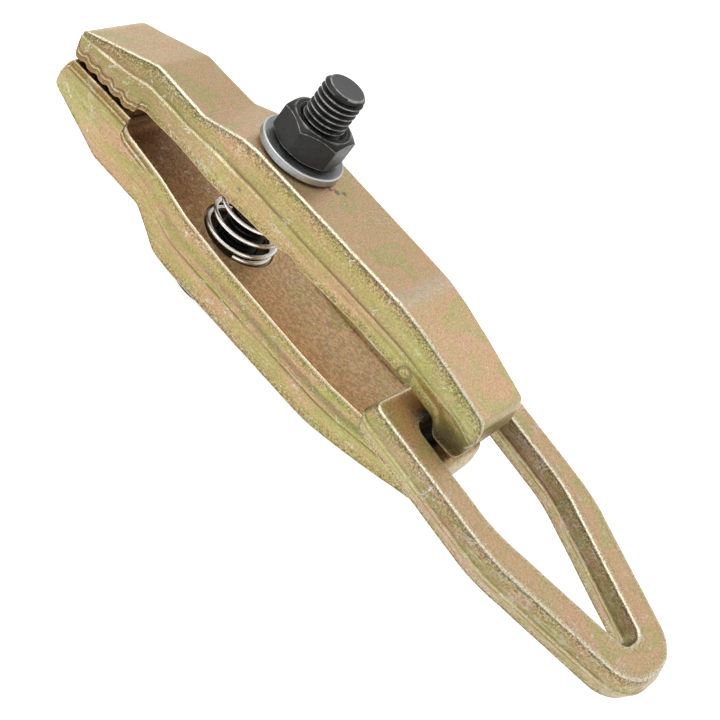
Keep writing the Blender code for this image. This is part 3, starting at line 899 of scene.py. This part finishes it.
        # a silvery painted sheen, partly worn plating, across the bend of the back and by the
        # saddle
        from_bend = self.absolute(self.maths("SUBTRACT", self.x, 56.5))
        bend = self.times(self.fall(from_bend, 0.5, 5.0), self.level,
                          self.rise(self.noise(self.mm, 0.9, 4.0, 0.75), 0.44, 0.60, 0.1, 0.8),
                          self.rise(self.z, 54.0, 56.0))
        saddle = self.times(self.between(self.x, -30.0, -22.0, -10.0, 0.0), self.side,
                            self.rise(self.noise(self.mm, 0.3, 6.0, 0.78, 0.3), 0.54, 0.68,
                                      0.0, 0.75), self.rise(self.z, 38.0, 41.0))
        rubs_and_sheen = self.maximum(self.maximum(rubs_and_sheen, legs), self.maximum(bend, saddle))
        self.paint((0.70, 0.70, 0.66), rubs_and_sheen, 0.75)

    def edges(self):
        """Copper rims of the inner faces, and edges painted bright as a highlight with some wear,
        with a painted dark reflection beside them.
        """
        rims = self.ramp(self.sand, (0.35, (0.46, 0.27, 0.12)), (0.65, (0.85, 0.66, 0.36)))
        self.paint(rims, self.rise(self.mask("lip"), 0.2, 0.9), 0.55)
        # edges painted bright: a painted highlight, with some wear
        self.paint((0.95, 0.89, 0.68), self.rise(self.edge, 0.2, 0.95),
                   self.rise(self.grain, 0.36, 0.54, 0.25), 0.85)
        # the dark line beside a bright edge: a painted dark reflection
        self.paint((0.10, 0.095, 0.075), self.rise(self.mask("under"), 0.25, 0.8),
                   self.fall(self.grain, 0.40, 0.60, 1.0, 0.15), 0.75)

    def brown_gap_flecks_and_fringe(self):
        """Brown thickening towards the toothed gap, pale flecks on the flats, and a broken dark
        fringe beside the bright edges, a painted dark reflection.
        """
        from_gap = self.absolute(self.maths("SUBTRACT", self.z, MID_Z / MM))
        along_gap = self.times(self.fall(self.x, -49.0, -40.0),
                               self.rise(self.x, -75.0, -72.0, 0.2))
        self.paint((0.27, 0.145, 0.04), self.fall(from_gap, 1.2, 6.5), along_gap,
                   self.rise(self.noise(self.mm, 0.22, 5.0, 0.65, 0.8), 0.36, 0.60, 0.25), 0.72)
        self.paint((0.80, 0.79, 0.74), self.level,
                   self.rise(self.noise(self.mm, 0.55, 3.0, 0.6), 0.70, 0.73), 0.7)
        # a broken dark fringe on the top's side of a bright edge: a painted dark reflection
        self.paint((0.16, 0.12, 0.07), self.between(self.edge, 0.02, 0.14, 0.16, 0.3),
                   self.fall(self.sand, 0.38, 0.48), 0.45)

    def spots(self):
        """The punched ring on the upper jaw, and the smudges beside the washer."""
        ring = self.times(self.spot(PUNCH_MARK, 2.6, 0.5),
                          self.maths("SUBTRACT", 1.0, self.spot(PUNCH_MARK, 1.3, 0.6)))
        self.paint((0.15, 0.12, 0.06), ring, 0.6)
        for centre, radius in SMUDGES:
            self.paint((0.10, 0.10, 0.12), self.spot(centre, radius, 0.7),
                       self.rise(self.grain, 0.3, 0.6, 0.4), 0.8)

    def surface(self):
        roughness = self.plus(self.rise(self.sand, 0.3, 0.7, 0.28, 0.42),
                              self.times(self.pits_and_dark_reflection, 0.15), self.times(self.shade_and_grime, 0.5))
        waves = self.bump(self.noise(self.mm, 0.35, 3.0), 0.3, 0.4)
        fine = self.bump(self.grain, 0.75, 0.12, waves)
        coarse = self.times(self.sand, self.plus(self.times(self.inner, 0.7), self.band))
        return self.finish(roughness, self.bump(coarse, 0.7, 0.25, fine))


def forged_plating():
    plating = ForgedPlating()
    plating.plate()
    plating.throat()
    plating.forging_marks()
    plating.scuffs()
    plating.edges()
    plating.brown_gap_flecks_and_fringe()
    plating.spots()
    return plating.surface()


def black_oxide():
    """Nearly black steel, pale on worn edges and at the bolt's sawn tip. The shank inside the
    spring is darker still, a painted shade."""
    steel = Material("black_oxide_steel", 0.6)
    steel.shader.inputs["Specular IOR Level"].default_value = 0.35
    cloud = steel.noise(steel.mm, 0.35, 4.0, 0.6)
    steel.base(steel.ramp(cloud, (0.3, (0.016, 0.016, 0.016)), (0.7, (0.034, 0.034, 0.033))))
    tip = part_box("clamp_bolt")[1].z / MM
    steel.paint((0.13, 0.13, 0.127), steel.rise(steel.z, tip - 0.4, tip - 0.2, 0.0, 0.8))
    nicks = steel.times(steel.rise(steel.noise(steel.mm, 0.8, 5.0, 0.7), 0.66, 0.72), 0.35)
    worn = steel.times(steel.rise(steel.mask("edge"), 0.45, 0.9),
                       steel.rise(cloud, 0.35, 0.6, 0.25))
    steel.paint((0.46, 0.45, 0.42), steel.maximum(worn, nicks), 0.8)
    # painted shade: the shank inside the spring near-black
    steel.paint((0.006, 0.006, 0.006), steel.between(steel.z, 12.0, 18.0, 44.0, 50.0), 0.9)
    grain = steel.noise(steel.mm, 3.0, 3.0, 0.6)
    return steel.finish(steel.rise(cloud, 0.3, 0.7, 0.34, 0.48), steel.bump(grain, 0.3, 0.05))


def bright_zinc():
    """Clouded bluish zinc with turning scratches, and a painted highlight on its rounded rim."""
    zinc = Material("bright_zinc_steel", 0.95)
    cloud = zinc.noise(zinc.mm, 0.2, 4.0, 0.6)
    grain = zinc.noise(zinc.mm, 1.8, 4.0, 0.7)
    zinc.base(zinc.ramp(cloud, (0.3, (0.26, 0.275, 0.285)), (0.5, (0.36, 0.375, 0.375)),
                        (0.7, (0.29, 0.30, 0.28))))
    zinc.tint(zinc.ramp(grain, (0.3, (0.7, 0.7, 0.7)), (0.7, (1.3, 1.3, 1.3))), 0.6)
    # the washer's rounded top rim painted pale: a painted highlight
    zinc.paint((0.86, 0.87, 0.84), zinc.mask("edge"), 0.7)
    scratches = zinc.noise(zinc.stretched((2.2, 0.25, 1.0)), 1.3, 5.0, 0.7)
    zinc.paint((0.75, 0.76, 0.74), zinc.rise(scratches, 0.60, 0.70), 0.5)
    return zinc.finish(zinc.rise(grain, 0.3, 0.7, 0.34, 0.52), zinc.bump(grain, 0.3, 0.05))


def drawn_wire():
    wire = Material("drawn_spring_wire", 1.0)
    grain = wire.noise(wire.mm, 0.8, 4.0, 0.6)
    wire.base(wire.ramp(grain, (0.3, (0.78, 0.78, 0.77)), (0.7, (0.95, 0.95, 0.94))))
    return wire.finish(wire.rise(grain, 0.3, 0.7, 0.26, 0.36), wire.bump(grain, 0.08, 0.02))


# -------------------------------------------------------------------- studio
def camera():
    data = bpy.data.cameras.new("camera")
    data.lens, data.sensor_width = 78.8, 36.0
    data.clip_start, data.clip_end = 0.01, 20.0
    obj = bpy.data.objects.new("camera", data)
    bpy.context.scene.collection.objects.link(obj)
    obj.location = (0.14247, -0.38943, 0.29208)
    obj.rotation_euler = [math.radians(a) for a in (48.6776, -32.7259, 38.0574)]
    bpy.context.scene.camera = obj


def area_light(name, place, aim, size, watts):
    data = bpy.data.lights.new(name, "AREA")
    data.shape, data.size, data.energy = "SQUARE", size, watts
    obj = bpy.data.objects.new(name, data)
    bpy.context.scene.collection.objects.link(obj)
    obj.location = place
    obj.rotation_euler = (Vector(place) - Vector(aim)).to_track_quat("Z", "Y").to_euler()


def daylight():
    """Soft white surroundings, slightly dimmer as a light than as a background."""
    scene = bpy.context.scene
    scene.view_settings.view_transform = "Standard"
    scene.world = bpy.data.worlds.new("studio")
    scene.world.use_nodes = True
    sky = Nodes(scene.world.node_tree)
    seen = sky.add("LightPath", {}).outputs["Is Camera Ray"]
    sky.put(sky.tree.nodes["Background"].inputs["Color"],
            sky.mix(seen, (0.66, 0.66, 0.67), (1.0, 1.0, 1.0)))
    area_light("key", (-0.5, -0.2, 0.95), (0.03, 0, 0.03), 0.9, 5.0)
    area_light("back", (0.35, 0.75, 0.6), (0.03, 0, 0.03), 0.9, 0.7)
    area_light("side", (0.9, -0.5, 0.5), (0.05, 0, 0.03), 0.6, 1.5)


def pale_floor():
    form = bmesh.new()
    bmesh.ops.create_grid(form, x_segments=1, y_segments=1, size=3.0)
    mesh = bpy.data.meshes.new("floor")
    form.to_mesh(mesh)
    form.free()
    floor = bpy.data.objects.new("floor", mesh)
    bpy.context.scene.collection.objects.link(floor)
    floor.location.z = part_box("clamp_bolt")[0].z - 0.0002
    paint = bpy.data.materials.new("pale_floor")
    paint.use_nodes = True
    shader = paint.node_tree.nodes["Principled BSDF"]
    shader.inputs["Base Color"].default_value = (0.55, 0.55, 0.55, 1.0)
    shader.inputs["Roughness"].default_value = 0.9
    shader.inputs["Emission Color"].default_value = (1.0, 1.0, 1.0, 1.0)
    shader.inputs["Emission Strength"].default_value = 0.85
    mesh.materials.append(paint)


# ------------------------------------------------------------------ assembly
def place_piece(obj, finish, body, node):
    """Puts a piece on its body in place of its CAD node, and keeps it inside the CAD box."""
    for vert in obj.data.vertices:
        vert.co = [min(max(c, low), high) for c, low, high in zip(vert.co, *CAD_BOX)]
    obj.data.materials.clear()
    obj.data.materials.append(finish)
    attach(obj, body)
    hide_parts(node)


def main():
    camera()
    daylight()
    pale_floor()
    plating, black = forged_plating(), black_oxide()
    place_piece(jaw("upper_jaw_forging", 1), plating, "upper_half", "upper_jaw")
    place_piece(jaw("lower_jaw_forging", -1), plating, "lower_half", "lower_jaw")
    place_piece(pull_ring(), plating, "ring", "pull_ring")
    for obj in (bolt_head(), bolt_thread()):
        place_piece(obj, black, "lower_half", "clamp_bolt")
    place_piece(hex_nut(), black, "nut", "hex_nut")
    place_piece(flat_washer(), bright_zinc(), "washer", "flat_washer")
    spring = return_spring()
    spring.data.materials.append(drawn_wire())
    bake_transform(spring)
    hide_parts("return_spring")


main()
